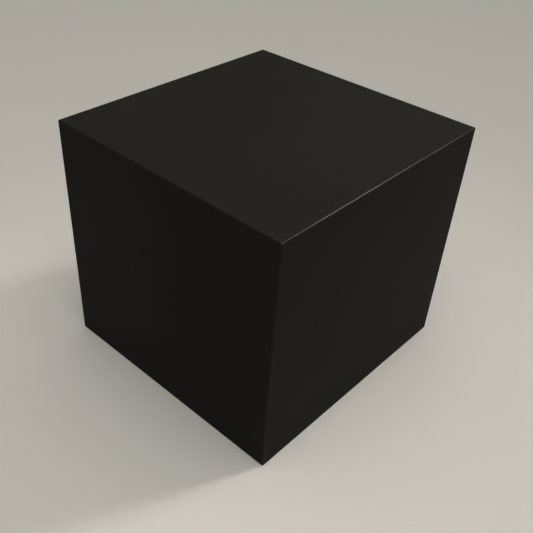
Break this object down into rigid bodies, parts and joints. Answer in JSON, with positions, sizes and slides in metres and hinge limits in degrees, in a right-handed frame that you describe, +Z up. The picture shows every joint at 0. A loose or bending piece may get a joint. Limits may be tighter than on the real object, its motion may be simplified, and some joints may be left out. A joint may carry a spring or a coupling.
{
  "type": "apple box",
  "caption": "Near-cubic closed wooden box with a satin black finish, to stand, sit or set things on in a photo or film studio.",
  "frame": {"origin": "middle of the underside, on the surface the box stands on", "axes": "+Z up through the top panel, -Y towards the front panel, +X towards the right panel"},
  "size_m": [0.39, 0.4, 0.36],
  "materials": {
    "black_lacquered_ply": "filled birch plywood, satin black lacquer",
    "birch_ply": "sanded, uncoated",
    "planed_pine": "planed, uncoated",
    "black_steel_screw": "black phosphated steel"
  },
  "bodies": {
    "root": {"top_panel": "black_lacquered_ply", "front_panel": "black_lacquered_ply", "back_panel": "black_lacquered_ply", "left_panel": "black_lacquered_ply", "right_panel": "black_lacquered_ply", "bottom_panel": "black_lacquered_ply", "top_tongue_front": "birch_ply", "top_tongue_back": "birch_ply", "top_tongue_left": "birch_ply", "top_tongue_right": "birch_ply", "corner_tongue_front_left": "birch_ply", "corner_tongue_front_right": "birch_ply", "corner_tongue_back_left": "birch_ply", "corner_tongue_back_right": "birch_ply", "corner_block_front_left": "planed_pine", "corner_block_front_right": "planed_pine", "corner_block_back_left": "planed_pine", "corner_block_back_right": "planed_pine", "batten_front": "planed_pine", "batten_back": "planed_pine", "batten_left": "planed_pine", "batten_right": "planed_pine", "rib_crossways": "birch_ply", "rib_lengthways": "birch_ply", "bottom_screw_1": "black_steel_screw", "bottom_screw_2": "black_steel_screw", "bottom_screw_3": "black_steel_screw", "bottom_screw_4": "black_steel_screw", "bottom_screw_5": "black_steel_screw", "bottom_screw_6": "black_steel_screw", "bottom_screw_7": "black_steel_screw", "bottom_screw_8": "black_steel_screw"}
  },
  "joints": []
}
